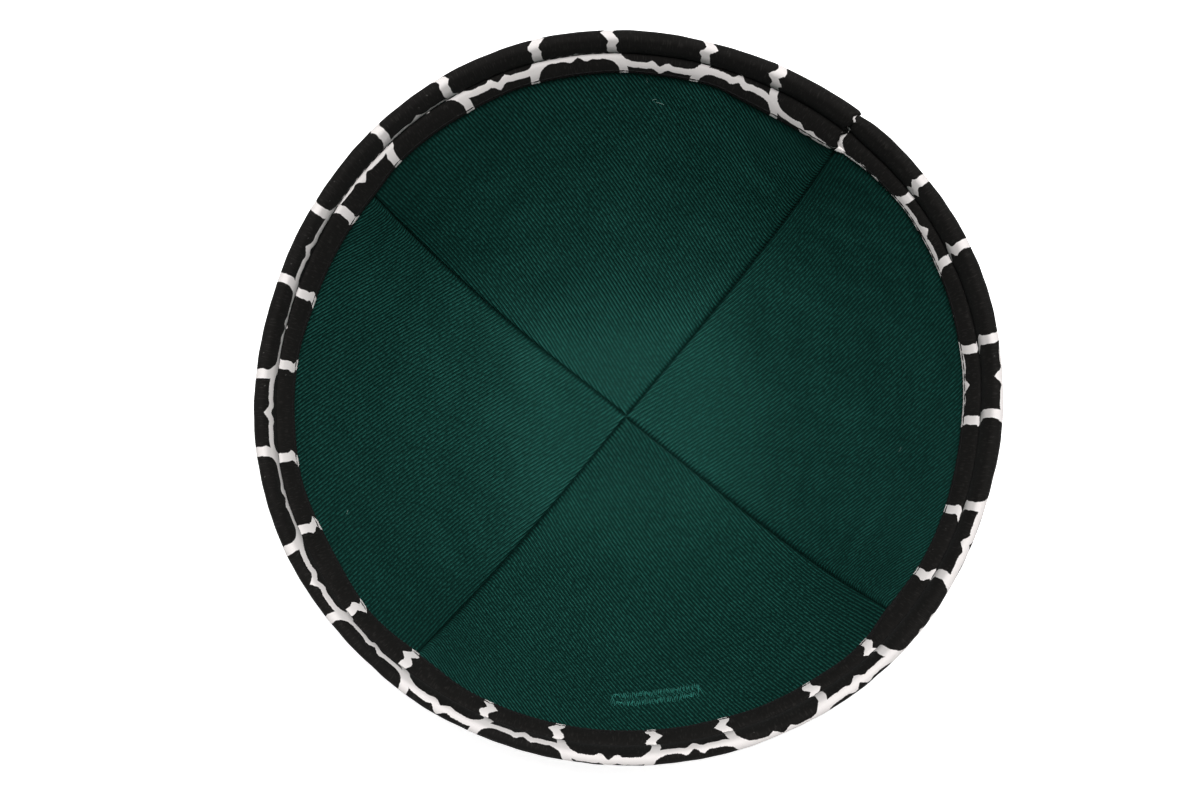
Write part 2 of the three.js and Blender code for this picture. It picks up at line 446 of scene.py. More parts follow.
class EffectGroup:
    """A shader node group with named inputs and outputs, built once and placed in many materials."""

    def __init__(self, name: str, inputs: dict[str, object], outputs: Sequence[str]) -> None:
        """Makes the empty group.

        Args:
            name: the group's name.
            inputs: each input's name and default, a number or None for a place.
            outputs: the outputs' names, each a number.
        """
        self.tree = bpy.data.node_groups.new(name, "ShaderNodeTree")
        for key, default in inputs.items():
            kind = "NodeSocketVector" if default is None else "NodeSocketFloat"
            socket = self.tree.interface.new_socket(key, in_out="INPUT", socket_type=kind)
            if default is not None:
                socket.default_value = default
        for key in outputs:
            self.tree.interface.new_socket(key, in_out="OUTPUT", socket_type="NodeSocketFloat")
        self.bench = NodeBench(self.tree)
        self.given = self.bench.add("NodeGroupInput").outputs
        self.result = self.bench.add("NodeGroupOutput").inputs

    def put(self, bench: NodeBench, vector: object, **values: float) -> bpy.types.Node:
        """Places the group in a material.

        Args:
            bench: the material's nodes.
            vector: the place that it reads.
            **values: its other inputs, with underscores for spaces.

        Returns:
            The group's node, with its outputs by name.
        """
        node = bench.add("ShaderNodeGroup", node_tree=self.tree)
        bench.feed(node.inputs["Place"], vector)
        for key, value in values.items():
            bench.feed(node.inputs[key.replace("_", " ")], value)
        return node


class Effects:
    """The effects that the finishes share. Lengths are in millimetres of cloth."""

    WAVER = 0.14  # how far the ribs waver
    FLOAT = 0.42  # the length of one float along a rib
    UNEVEN = 2.2  # how strongly the floats differ
    SPIKE_REACH = 1.3  # from a barb's point to where the barb is gone
    NOTCH_AT = 2.15  # from a barb's point to the notch beside it
    NOTCH_REACH = 1.2  # from the notch's middle to where it is gone
    SWELL_REACH = 3.4  # how far round the barb the line is thicker
    SWELL = 0.32  # how much thicker it is there, at each edge
    TURN = 1.5  # how far each side of a corner the line changes its thickness
    RAGGED = 0.5  # how far the fibres and the weave move the line's edge
    EDGE = 0.05  # half the softness of that edge
    SPECK = 0.06  # a speck's radius, as a share of the space between specks
    CLEAN = 0.56  # the level of the noise over which there are specks

    def __init__(self) -> None:
        """Builds each group once."""
        self.twill = self._twill()
        self.weave = self._weave()
        self.trellis = self._trellis()
        self.wear = self._wear()

    @staticmethod
    def _twill() -> EffectGroup:
        """Slanted ribs of satin floats: Rib is 1 on a rib's crest, Float breaks it into threads."""
        group = EffectGroup(
            "twill_ribs", {"Place": None, "Slant": 0.5, "Pitch": 0.8}, ("Rib", "Float", "Height")
        )
        bench, given = group.bench, group.given
        waver = bench.noise(given["Place"], 0.35, 1)
        turned = bench.stretch(given["Place"], given["Slant"], (1, 1, 1))
        across, along = bench.split(turned)
        shift = bench.math("MULTIPLY", bench.math("SUBTRACT", waver, 0.5), Effects.WAVER)
        turn = bench.math("DIVIDE", bench.math("ADD", across, shift), given["Pitch"])
        wave = bench.math("COSINE", bench.math("MULTIPLY", turn, 2 * math.pi))
        rib = bench.math("MULTIPLY_ADD", wave, 0.5, 0.5)
        threads = bench.add("ShaderNodeTexNoise")
        bench.feed(
            threads.inputs["Vector"], bench.stretch(given["Place"], given["Slant"], (2.6, 0.9, 1))
        )
        threads.inputs["Scale"].default_value = 1.0
        threads.inputs["Detail"].default_value = 3
        lag = bench.math("MULTIPLY", turn, 2.2)
        steps = bench.math("MULTIPLY_ADD", along, 2 * math.pi / Effects.FLOAT, lag)
        twist = bench.math("MULTIPLY_ADD", bench.math("SINE", steps), 0.5, 0.5)
        uneven = bench.math("MULTIPLY_ADD", threads.outputs["Fac"], Effects.UNEVEN, -0.8)
        bench.feed(group.result["Rib"], rib)
        bench.feed(group.result["Float"], bench.math("MULTIPLY_ADD", twist, 0.45, uneven))
        lift = bench.math("MULTIPLY", bench.math("MULTIPLY", rib, twist), 0.25)
        bench.feed(group.result["Height"], bench.math("ADD", rib, lift))
        return group

    @staticmethod
    def _weave() -> EffectGroup:
        """Plain weave: Height is the crossing threads' relief."""
        group = EffectGroup("plain_weave", {"Place": None, "Pitch": 0.4}, ("Height",))
        bench, given = group.bench, group.given
        waves = []
        for way in bench.split(given["Place"]):
            turns = bench.math("DIVIDE", bench.math("MULTIPLY", way, 2 * math.pi), given["Pitch"])
            waves.append(bench.math("SINE", turns))
        crossed = bench.math("MULTIPLY", *waves)
        bench.feed(group.result["Height"], bench.math("MULTIPLY_ADD", crossed, 0.5, 0.5))
        return group

    @staticmethod
    def _trellis() -> EffectGroup:
        """A quatrefoil lattice: rounded squares on every other cell, with a barb on each side."""
        group = EffectGroup(
            "quatrefoil_trellis",
            {
                "Place": None,
                "Pitch": 20.45,
                "Half Side": 11.45,
                "Corner": 5.2,
                "Line": 2.2,
                "Thin Line": 1.9,
                "Spike": 1.12,
                "Notch": 0.5,
            },
            ("Line", "Fibre"),
        )
        bench, given = group.bench, group.given
        math_ = bench.math
        x, y = bench.split(given["Place"])
        edge = math_("SUBTRACT", given["Half Side"], given["Corner"])
        period = math_("MULTIPLY", given["Pitch"], 2)

        def tooth(along: object, at: float, reach: float, height: object) -> Socket:
            """A pointed step in a side, so high at one place and gone at its reach."""
            off = math_("ABSOLUTE", math_("SUBTRACT", along, at))
            share = math_("SUBTRACT", 1, math_("DIVIDE", off, reach))
            return math_("MULTIPLY", math_("MAXIMUM", share, 0), height)

        def side_distance(shift: object) -> Socket:
            """The distance from the nearest rounded square's outline, on one half of the cells."""
            centred = []
            for value in (x, y):
                moved = math_("ADD", math_("SUBTRACT", value, shift), given["Pitch"])
                wrapped = math_("FLOORED_MODULO", moved, period)
                centred.append(math_("ABSOLUTE", math_("SUBTRACT", wrapped, given["Pitch"])))
            far = math_("MAXIMUM", *centred)
            near = math_("MINIMUM", *centred)
            spike = tooth(near, 0.0, Effects.SPIKE_REACH, given["Spike"])
            notch = tooth(near, Effects.NOTCH_AT, Effects.NOTCH_REACH, given["Notch"])
            side = math_("SUBTRACT", math_("ADD", given["Half Side"], spike), notch)
            straight = math_("SUBTRACT", far, side)
            corner_x = math_("SUBTRACT", far, edge)
            corner_y = math_("SUBTRACT", near, edge)
            reach = math_("SQRT", math_("ADD", math_("POWER", corner_x, 2), math_("POWER", corner_y, 2)))
            rounded = math_("SUBTRACT", reach, given["Corner"])
            in_corner = math_("GREATER_THAN", corner_y, 0)
            both = bench.add("ShaderNodeMix", data_type="FLOAT")
            bench.feed(both.inputs[0], in_corner)
            bench.feed(both.inputs[2], straight)
            bench.feed(both.inputs[3], rounded)
            swollen = tooth(near, 0.0, Effects.SWELL_REACH, Effects.SWELL)
            upright = bench.ramp(math_("SUBTRACT", *centred), -Effects.TURN, Effects.TURN)
            extra = math_("SUBTRACT", given["Line"], given["Thin Line"])
            line = math_("MULTIPLY_ADD", upright, extra, given["Thin Line"])
            half = math_("ADD", math_("DIVIDE", line, 2), swollen)
            return math_("SUBTRACT", math_("ABSOLUTE", both.outputs[0]), half)

        nearest = math_("MINIMUM", side_distance(0), side_distance(given["Pitch"]))
        fibres = bench.stretch(given["Place"], 0.0, (3.2, 0.5, 1))
        fibre = bench.noise(fibres, 1.0, 3)
        bench.feed(group.result["Fibre"], fibre)
        ragged = math_("MULTIPLY", math_("SUBTRACT", fibre, 0.5), Effects.RAGGED)
        wander = math_("SUBTRACT", bench.noise(given["Place"], 0.55, 1), 0.5)
        ragged = math_("ADD", ragged, math_("MULTIPLY", wander, Effects.RAGGED))
        inside = math_("SUBTRACT", 0, math_("ADD", nearest, ragged))
        bench.feed(group.result["Line"], bench.ramp(inside, -Effects.EDGE, Effects.EDGE))
        return group

    @staticmethod
    def _wear() -> EffectGroup:
        """Handled cloth: Fade lightens broad patches, Lint is 1 on specks and short hairs."""
        group = EffectGroup("cloth_wear", {"Place": None, "Size": 18.0}, ("Fade", "Lint"))
        bench, given = group.bench, group.given
        patches = bench.add("ShaderNodeTexNoise")
        bench.feed(patches.inputs["Vector"], given["Place"])
        bench.feed(patches.inputs["Scale"], bench.math("DIVIDE", 1, given["Size"]))
        patches.inputs["Detail"].default_value = 3
        specks = bench.add("ShaderNodeTexVoronoi", feature="F1")
        bench.feed(specks.inputs["Vector"], bench.stretch(given["Place"], 0.6, (0.55, 0.25, 1)))
        specks.inputs["Scale"].default_value = 1
        keep = bench.math("GREATER_THAN", bench.noise(given["Place"], 0.11, 0), Effects.CLEAN)
        dot = bench.math("LESS_THAN", specks.outputs["Distance"], Effects.SPECK)
        bench.feed(group.result["Fade"], patches.outputs["Fac"])
        bench.feed(group.result["Lint"], bench.math("MULTIPLY", dot, keep))
        return group


@dataclass(frozen=True)
class Finish:
    """What every finish has.

    Attributes:
        name: the material's name.
        effects: the shared node groups that it draws on.
        roughness: the shader's, before anything changes it.
        relief: how high its bumps stand, in millimetres.
    """

    name: str
    effects: Effects
    roughness: float = 0.6
    relief: float = 0.05

    def _start(self) -> tuple[Material, NodeBench, bpy.types.Node]:
        """An empty material with its nodes and its shader."""
        material = bpy.data.materials.new(self.name)
        material.use_nodes = True
        bench = NodeBench(material.node_tree)
        shader = material.node_tree.nodes["Principled BSDF"]
        shader.inputs["Roughness"].default_value = self.roughness
        return material, bench, shader

    def _cloth_place(self, bench: NodeBench) -> Socket:
        """The piece's own UV map, which is in millimetres of cloth."""
        return bench.add("ShaderNodeUVMap", uv_map="cloth").outputs[0]

    def _raise(self, bench: NodeBench, shader: bpy.types.Node, height: object) -> None:
        """Gives the shader a relief of so many millimetres."""
        node = bench.add("ShaderNodeBump")
        node.inputs["Strength"].default_value = 1.0
        node.inputs["Distance"].default_value = self.relief * MM
        bench.feed(node.inputs["Height"], height)
        bench.feed(shader.inputs["Normal"], node.outputs[0])


@dataclass(frozen=True)
class TwillFinish(Finish):
    """Satin twill with slanted ribs.

    Attributes:
        crest: the colour on a rib, lighter as a painted highlight on the crests.
        valley: the colour between two ribs, darker as painted shade in the valleys.
        shine: how strongly the satin reflects.
        shine_tint: the colour that it reflects.
        slant: the ribs' turn from the way up the cloth, in degrees.
        pitch: from rib to rib.
        patch_size: how broad its lighter patches are.
        patch_depth: how much lighter.
        painted_seam_shade_share: the valley's colour down in a seam, made darker as painted shade, as a
            share.
        polish: how much smoother a crest is than a valley.
    """

    crest: Colour = linear(27, 76, 68)
    valley: Colour = linear(4, 18, 15)
    shine: float = 0.62
    shine_tint: Colour = (0.22, 1.0, 0.82)
    slant: float = 26.0
    pitch: float = 0.82
    patch_size: float = 22.0
    patch_depth: float = 0.25
    painted_seam_shade_share: float = 0.12
    polish: float = 0.12

    def build(self) -> Material:
        """The material."""
        material, bench, shader = self._start()
        place = self._cloth_place(bench)
        twill = self.effects.twill.put(
            bench, place, Slant=-math.radians(self.slant), Pitch=self.pitch
        )
        wear = self.effects.wear.put(bench, place, Size=self.patch_size)
        patch = bench.math("SUBTRACT", wear.outputs["Fade"], 0.5)
        # Crests lighter and valleys darker: painted highlight and painted shade on the ribs, with broad
        # lighter patches of random tone.
        lit = bench.math("MULTIPLY", twill.outputs["Rib"], twill.outputs["Float"])
        lit = bench.math("MULTIPLY_ADD", patch, self.patch_depth, lit)
        cloth = bench.blend(bench.ramp(lit, 0.02, 0.85), self.valley, self.crest)
        # Painted shade down in the seams, from a mask written on each panel's mesh.
        painted_seam_shade_mask = bench.add("ShaderNodeAttribute", attribute_name="painted_seam_shade_mask").outputs["Fac"]
        painted_seam_shade_colour = shade(self.valley, self.painted_seam_shade_share)
        bench.feed(shader.inputs["Base Color"], bench.blend(painted_seam_shade_mask, cloth, painted_seam_shade_colour))
        middle = self.roughness + self.polish / 2
        worn = bench.math("MULTIPLY_ADD", twill.outputs["Rib"], -self.polish, middle)
        bench.feed(shader.inputs["Roughness"], worn)
        shader.inputs["Specular IOR Level"].default_value = self.shine
        shader.inputs["Specular Tint"].default_value = (*self.shine_tint, 1)
        self._raise(bench, shader, twill.outputs["Height"])
        return material


@dataclass(frozen=True)
class TrellisFinish(Finish):
    """Matt black cotton printed with the trellis.

    Attributes:
        ground: the cotton's colour.
        ink: the print's colour.
        lint: the colour of specks and hairs.
        thread_pitch: from thread to thread.
        patch_size: how broad its lighter patches are.
        patch_shades: the ground's colour in a darker and a lighter patch, as shares.
        strand_shades: the ground's colour on a dark and on a pale strand, as shares.
        ink_shade: the print's colour between the threads, as a share.
    """

    ground: Colour = linear(25, 24, 23)
    ink: Colour = linear(227, 222, 220)
    lint: Colour = linear(120, 118, 116)
    thread_pitch: float = 0.42
    patch_size: float = 9.0
    patch_shades: tuple[float, float] = (0.55, 1.35)
    strand_shades: tuple[float, float] = (0.35, 3.0)
    ink_shade: float = 0.6

    def build(self) -> Material:
        """The material."""
        material, bench, shader = self._start()
        place = self._cloth_place(bench)
        trellis = self.effects.trellis.put(bench, place)
        weave = self.effects.weave.put(bench, place, Pitch=self.thread_pitch)
        wear = self.effects.wear.put(bench, place, Size=self.patch_size)
        fibre, height = trellis.outputs["Fibre"], weave.outputs["Height"]
        faded = bench.math("MULTIPLY_ADD", wear.outputs["Fade"], 0.9, 0.1)
        ground = bench.blend(faded, *(shade(self.ground, by) for by in self.patch_shades))
        shares = (
            bench.math("MULTIPLY", fibre, height),
            bench.math("MULTIPLY", bench.ramp(fibre, 0.52, 0.7), height),
        )
        for share, by in zip(shares, self.strand_shades):
            ground = bench.blend(share, ground, shade(self.ground, by))
        specks = bench.math("MULTIPLY", wear.outputs["Lint"], 0.35)
        ground = bench.blend(specks, ground, self.lint)
        threads = bench.math("MULTIPLY_ADD", fibre, 0.5, height)
        between = bench.math("MULTIPLY_ADD", threads, 0.3, -0.08)
        inked = bench.blend(between, self.ink, shade(self.ink, self.ink_shade))
        bench.feed(shader.inputs["Base Color"], bench.blend(trellis.outputs["Line"], ground, inked))
        shader.inputs["Specular IOR Level"].default_value = 0.06
        shader.inputs["Sheen Weight"].default_value = 0.015
        shader.inputs["Sheen Roughness"].default_value = 0.5
        self._raise(bench, shader, weave.outputs["Height"])
        return material


@dataclass(frozen=True)
class ThreadFinish(Finish):
    """Twisted sewing thread.

    Attributes:
        colour: the thread's own.
        light: how many times as light its lighter stretches are.
        ply: from twist to twist.
        painted_twist_shade: the colour between the twists, darker as painted shade, as a share.
    """

    colour: Colour = linear(12, 40, 34)
    light: float = 1.6
    ply: float = 0.22
    painted_twist_shade: float = 0.5

    def build(self) -> Material:
        """The material."""
        material, bench, shader = self._start()
        place = bench.add("ShaderNodeTexCoord").outputs["Object"]
        millimetres = bench.stretch(place, 0.0, (1 / MM, 1 / MM, 1 / MM))
        weave = self.effects.weave.put(bench, millimetres, Pitch=self.ply)
        hue = bench.noise(millimetres, 0.8, 2)
        strand = bench.blend(bench.ramp(hue, 0.3, 0.7), self.colour, shade(self.colour, self.light))
        # Painted shade between the thread's twists.
        groove = bench.math("MULTIPLY", weave.outputs["Height"], 0.5)
        twisted = bench.blend(groove, strand, shade(self.colour, self.painted_twist_shade))
        bench.feed(shader.inputs["Base Color"], twisted)
        shader.inputs["Specular IOR Level"].default_value = 0.15
        shader.inputs["Sheen Weight"].default_value = 0.03
        self._raise(bench, shader, weave.outputs["Height"])
        return material


@dataclass(frozen=True)
class FloorFinish(Finish):
    """The pale surface that the cap lies on, lit from below like a light table.

    Attributes:
        colour: the surface's own.
        glow: how strongly it is lit.
        mottle: how many times as light its lighter patches are.
    """

    colour: Colour = (0.92, 0.92, 0.92)
    glow: float = 0.85
    mottle: float = 1.02

    def build(self) -> Material:
        """The material."""
        material, bench, shader = self._start()
        place = bench.add("ShaderNodeTexCoord").outputs["Object"]
        patches = bench.noise(place, 14, 3)
        surface = bench.blend(patches, self.colour, shade(self.colour, self.mottle))
        bench.feed(shader.inputs["Base Color"], surface)
        shader.inputs["Emission Color"].default_value = (1, 1, 1, 1)
        shader.inputs["Emission Strength"].default_value = self.glow
        return material


@dataclass
class StitchRow:
    """Stitches of one size, modelled once and copied along a line.

    Attributes:
        length: from end to end.
        width: across the thread.
        height: how thick the thread is.
        dive: how far its ends go down into the cloth.
        sides: faces round the thread.
        rings: faces along it.
    """

    length: float
    width: float = 0.34
    height: float = 0.28
    dive: float = 0.12
    sides: int = 6
    rings: int = 6

    def _model(self) -> Piece:
        """One stitch at the origin along X, its ends bent down."""
        deselect()
        bpy.ops.mesh.primitive_uv_sphere_add(segments=self.sides, ring_count=self.rings, radius=0.5)
        stitch = bpy.context.object
        bpy.ops.object.mode_set(mode="EDIT")
        bpy.ops.mesh.select_all(action="SELECT")
        bpy.ops.transform.rotate(value=math.pi / 2, orient_axis="Y", center_override=(0, 0, 0))
        bpy.ops.transform.resize(
            value=(self.length * MM, self.width * MM, self.height * MM), center_override=(0, 0, 0)
        )
        bpy.ops.object.mode_set(mode="OBJECT")
        for point in stitch.data.vertices:
            share = 2 * point.co.x / (self.length * MM)
            point.co.z -= self.dive * MM * share * share
        return stitch

    def sew(self, name: str, at: Array, along: Array, out: Array) -> Piece:
        """A row of stitches as one piece.

        Args:
            name: the piece's name.
            at: the middle of each stitch, in millimetres.
            along: the way that each one runs.
            out: the way that each one faces.

        Returns:
            The undressed piece.
        """
        model = self._model()
        copies = []
        for middle, way, face in zip(at, along, out):
            copy = model.copy()
            copy.data = model.data.copy()
            bpy.context.collection.objects.link(copy)
            x = Vector(way).normalized()
            y = Vector(face).cross(x).normalized()
            turn = Matrix((x, y, x.cross(y))).transposed().to_4x4()
            copy.data.transform(Matrix.Translation(Vector(middle) * MM) @ turn)
            copies.append(copy)
        bpy.data.objects.remove(model)
        return join(copies, name)


@dataclass
class ClipSlot:
    """The bound slit for a hair clip, and how the cloth is drawn in around it.

    Attributes:
        form: the cap's shape.
        panel: the lining panel that it is cut in.
        drop: how far below the mouth it lies.
        length: the slit's own length.
        reach: the length of the stitched rows.
        spread: from one row's middle to the other's.
        row: the width of a row.
        pitch: from thread to thread.
        slit_depth: how far the cloth is drawn down at the slit.
        row_height: how far it stands up in the rows.
        slide: how far each row is shifted along the slot, one each way.
        bars: the number of threads across each end.
        bar_gap: from the rows' ends to the first of them.
        bar_pitch: from one of them to the next.
        uneven: how far threads stray along the slot and across it.
        slant: how far a thread's end strays, in degrees round the cap.
        lift: how far the threads stand off the cloth.
    """

    form: CapForm
    panel: int = 4
    drop: float = 13.1
    length: float = 17.0
    reach: float = 19.4
    spread: float = 3.1
    row: float = 2.1
    pitch: float = 0.4
    slit_depth: float = 0.5
    row_height: float = 0.1
    slide: float = 0.35
    bars: int = 2
    bar_gap: float = 0.25
    bar_pitch: float = 0.28
    uneven: tuple[float, float] = (0.09, 0.2)
    slant: float = 0.06
    lift: float = 0.15

    @property
    def middle(self) -> float:
        """The slot's place round the cap, in degrees."""
        return (self.panel - 1) * PANEL_ANGLE

    def _turn(self, across: Array) -> Array:
        """The angle that a length along the slot stands for, in degrees."""
        edge = self.form.place(np.array([-self.drop]), 0.0, np.array([self.middle]))[0]
        return np.degrees(across / np.hypot(edge[0], edge[1]))

    def press(self, up: Array, across: Array) -> Array:
        """How far the cloth is drawn down at the slit, and stands up in the rows beside it."""
        inside = 1 - smooth(np.abs(across), self.length / 2 - 0.8, self.length / 2 + 0.4)
        rows = 1 - smooth(np.abs(across), self.reach / 2 - 0.6, self.reach / 2 + 1.2)
        off = up + self.drop
        raised = bump(np.abs(off) - self.spread / 2, 0.45 * self.row)
        return self.slit_depth * inside * bump(off, 0.2) - self.row_height * rows * raised

    def build(self, lining: "ClothPanels") -> Piece:
        """Both stitched rows with a bar across each end.

        Args:
            lining: the cloth that they are sewn to.

        Returns:
            The undressed piece.
        """
        rng = np.random.default_rng(5)
        count = int(self.reach / self.pitch)
        across, off = [], []
        for side in (-1, 1):
            row = np.linspace(-self.reach / 2, self.reach / 2, count)
            across += list(row - self.slide * side)
            off += [side * self.spread / 2] * count
        for end in (-1, 1):
            start = self.reach / 2 + self.bar_gap
            across += [end * (start + self.bar_pitch * k) for k in range(self.bars)]
            off += [0.0] * self.bars
        across = np.array(across)
        across += rng.normal(0, self.uneven[0], len(across))
        off = np.array(off) + rng.normal(0, self.uneven[1], len(across))
        up, angle = off - self.drop, self.middle + self._turn(across)
        at = lining.place(up, angle, self.lift)
        strayed = angle + self.slant * rng.standard_t(2, len(across))
        above = lining.place(up + 0.5, strayed, self.lift)
        inward = lining.place(up, angle, self.lift + 0.5) - at
        threads = StitchRow(self.row, width=0.2, height=0.22, dive=0.1)
        satin = 2 * count
        rows = threads.sew("slot_rows", at[:satin], (above - at)[:satin], inward[:satin])
        bars = StitchRow(self.spread + self.row * 0.6, width=0.22, height=0.24, dive=0.12)
        ends = bars.sew("slot_bars", at[satin:], (above - at)[satin:], inward[satin:])
        return join([rows, ends], "clip_slot_stitching")


@dataclass
class ClothPanels:
    """The four panels of one cloth layer, sewn edge to edge.

    Attributes:
        form: the cap's shape.
        side: the face that shows.
        name: each panel's name, before its number.
        node: the plain solid's name, before its number.
        out: the shown face's distance outside the lining's face.
        wall: the cloth's thickness.
        top: how far above the mouth the panel runs on inside the binding.
        tip: the panel's width at the middle of the crown.
        seam_dip: how deep the edges turn into the seam.
        roll_width: how far from the seam the edge that is rolled under starts to turn down.
        crisp_width: the same on the seam's other side, where the edge is crisp.
        stitch: the seam's stitch length.
        pucker: how much deeper each stitch pulls.
        pucker_reach: how far from the seam that fades.
        swell: how much the cloth stands up beside the seam.
        swell_at: how far from the turned edge that is highest.
        swell_width: how wide it is.
        sag: the height of its slow unevenness.
        sag_wave: the usual length of that unevenness.
        fine_wave: the same for the finer half of it.
        crown_rise: how far the thick crossing of the seams lifts the cloth.
        crown_width: how wide that is.
        offset: how far the two short seams miss each other at the crown, each way.
        offset_reach: how far from the crown that is felt.
        resting: the distances from the crown's middle between which the outside, which lies
            flat on the floor, starts to be uneven.
        hook: how far the threads are dragged along the seam at the rim, on its rolled side.
        hook_least: the share of that which is left at the crown.
        painted_seam_shade_widths: how far the painted shade down in a seam reaches on the rolled and on the
            crisp side.
        slot_crowding: how many times closer together the rows of faces are at the slot.
        seam_crowding: the power by which the columns crowd at the seams.
        columns: faces across a panel.
        rows: faces from the crown to the rim.
        slot: the clip slot, in the layer that has one.
    """

    form: CapForm
    side: Side
    name: str
    node: str
    out: float
    wall: float
    top: float = 4.4
    tip: float = 0.06
    seam_dip: float = 0.76
    roll_width: float = 0.38
    crisp_width: float = 0.16
    stitch: float = 2.35
    pucker: float = 0.05
    pucker_reach: float = 0.9
    swell: float = 0.16
    swell_at: float = 1.4
    swell_width: float = 1.6
    sag: float = 0.3
    sag_wave: float = 34.0
    fine_wave: float = 12.0
    crown_rise: float = 0.0
    crown_width: float = 13.0
    offset: float = 0.22
    offset_reach: float = 12.0
    resting: tuple[float, float] = (8.0, 22.0)
    hook: float = 2.8
    hook_least: float = 0.12
    painted_seam_shade_widths: tuple[float, float] = (0.28, 0.2)
    slot_crowding: float = 5.0
    seam_crowding: float = 2.1
    columns: int = 96
    rows: int = 168
    slot: ClipSlot | None = None

    def _radius(self, up: Array) -> Array:
        """The length along the wall from the middle of the crown."""
        return np.maximum(up + self.form.to_crown, 0)

    def _from_seam(self, up: Array, share: Array) -> Array:
        """The distance from the nearer seam."""
        return self._radius(up) * HALF_PANEL * (1 - np.abs(share))

    def _grid(self, across: Array, along: Array, slotted: bool) -> tuple[Array, Array]:
        """The place of each point of a panel, closer together at the seams and the slot.

        Args:
            across: the share of the way from one seam to the other.
            along: the share of the way from the crown to the rim.
            slotted: whether the panel has the slot.

        Returns:
            The length along the wall above the mouth, and the share across from -1 to 1.
        """
        start = self.tip - self.form.to_crown
        line = np.linspace(start, self.top, 2000)
        dense = np.ones_like(line)
        if slotted:
            dense += self.slot_crowding * bump(line + self.slot.drop, 1.3)
        walked = np.cumsum(dense)
        up = np.interp(along, (walked - walked[0]) / (walked[-1] - walked[0]), line)
        share = 2 * across - 1
        return up, np.sign(share) * (1 - (1 - np.abs(share)) ** self.seam_crowding)

    def height(self, number: int, up: Array, share: Array) -> Array:
        """How far a panel's cloth stands proud of its plain form.

        Args:
            number: the panel, 1 to 4.
            up: length along the wall above the mouth.
            share: -1 at the panel's first seam, 1 at its last.

        Returns:
            The height towards the side that shows.
        """
        radius, from_seam = self._radius(up), self._from_seam(up, share)
        width = np.where(share < 0, self.roll_width, self.crisp_width)
        turned = self.seam_dip * np.exp(-((from_seam / width) ** 1.5))
        stitches = np.cos(2 * math.pi * up / self.stitch)
        pulled = self.pucker * stitches * np.exp(-from_seam / self.pucker_reach)
        swollen = self.swell * bump(from_seam - self.swell_at - width, self.swell_width)
        x, y = up, share * radius
        slow, fine = drift(x, y, self.sag_wave, 10 + number), drift(x, y, self.fine_wave, 20 + number)
        uneven = self.sag * (slow + 0.5 * fine)
        lifted = self.crown_rise * bump(radius, self.crown_width)
        calm = smooth(radius, 0, 14) * smooth(-up, -2, 10) * smooth(from_seam, 0, 7)
        rests = smooth(radius, *self.resting) if self.side is Side.OUTSIDE else 1.0
        return lifted + (swollen + uneven * calm) * rests - turned - np.abs(pulled)

    def place(self, up: Array, angle: Array, lift: float = 0.0) -> Array:
        """Points on the cloth, or a little off it.

        Args:
            up: length along the wall above the mouth.
            angle: degrees round the cap.
            lift: distance from the cloth towards the side that shows.

        Returns:
            One x, y, z row for each place, in millimetres.
        """
        up, angle = np.broadcast_arrays(np.asarray(up, float), np.asarray(angle, float))
        nearest = np.round(angle / PANEL_ANGLE)
        share = (angle - PANEL_ANGLE * nearest) / (PANEL_ANGLE / 2)
        inward = np.zeros(up.shape)
        for number in range(1, PANELS + 1):
            here = nearest % PANELS == number - 1
            inward[here] = self.height(number, up[here], share[here])
        return self.form.place(up, self.out + self.side.value * (inward + lift), angle)

    def _lay(self, number: int) -> Layer:
        """How the cloth of one panel lies, its first row at the crown."""
        middle = (number - 1) * PANEL_ANGLE
        slotted = self.slot is not None and self.slot.panel == number
        slide = self.offset * (1 if number in (2, 3) else -1)
        slide_way = np.array([math.cos(math.radians(45)), math.sin(math.radians(45)), 0])

        def lay(across: Array, along: Array) -> Array:
            """Points for the shares across the panel and along it."""
            if self.side is Side.INSIDE:
                across = 1 - across
            up, share = self._grid(across, along, slotted)
            radius = self._radius(up)
            inward = self.height(number, up, share)
            if slotted:
                inward -= self.slot.press(up, share * HALF_PANEL * radius * 1.02)
            angle = middle + share * PANEL_ANGLE / 2
            points = self.form.place(up, self.out + self.side.value * inward, angle)
            points += slide * bump(radius, self.offset_reach)[:, None] * slide_way
            return points

        return lay

    def _flatten(self, piece: Piece) -> Array:
        """The flat shape that the panel's cloth was cut to, its crown at the origin and +Y up.

        Args:
            piece: the laid panel.

        Returns:
            One x, y row for each vertex, in millimetres.
        """
        make_active(piece)
        bpy.ops.object.mode_set(mode="EDIT")
        bpy.ops.mesh.select_all(action="SELECT")
        bpy.ops.uv.unwrap(method="ANGLE_BASED", margin=0)
        bpy.ops.object.mode_set(mode="OBJECT")
        mesh = piece.data
        flat = np.zeros((len(mesh.vertices), 2))
        flat[read(mesh.loops, "vertex_index", kind=int)] = read(mesh.uv_layers["cloth"].data, "uv", 2)
        points = read(mesh.vertices, "co", 3) / MM
        a, b = read(mesh.edges, "vertices", 2, int).T
        real = np.linalg.norm(points[a] - points[b], axis=1).sum()
        drawn = np.linalg.norm(flat[a] - flat[b], axis=1).sum()
        flat *= real / drawn
        width = self.columns + 1
        spine = flat.reshape(self.rows + 1, width, 2)[:, width // 2]
        way = spine[-1] - spine[0]
        turn = math.pi / 2 - math.atan2(way[1], way[0])
        spin = np.array([[math.cos(turn), -math.sin(turn)], [math.sin(turn), math.cos(turn)]])
        flat = (flat - spine[0]) @ spin.T
        edge = flat.reshape(self.rows + 1, width, 2)[-1]
        if edge[0][0] > edge[-1][0]:
            flat[:, 0] *= -1
        return flat

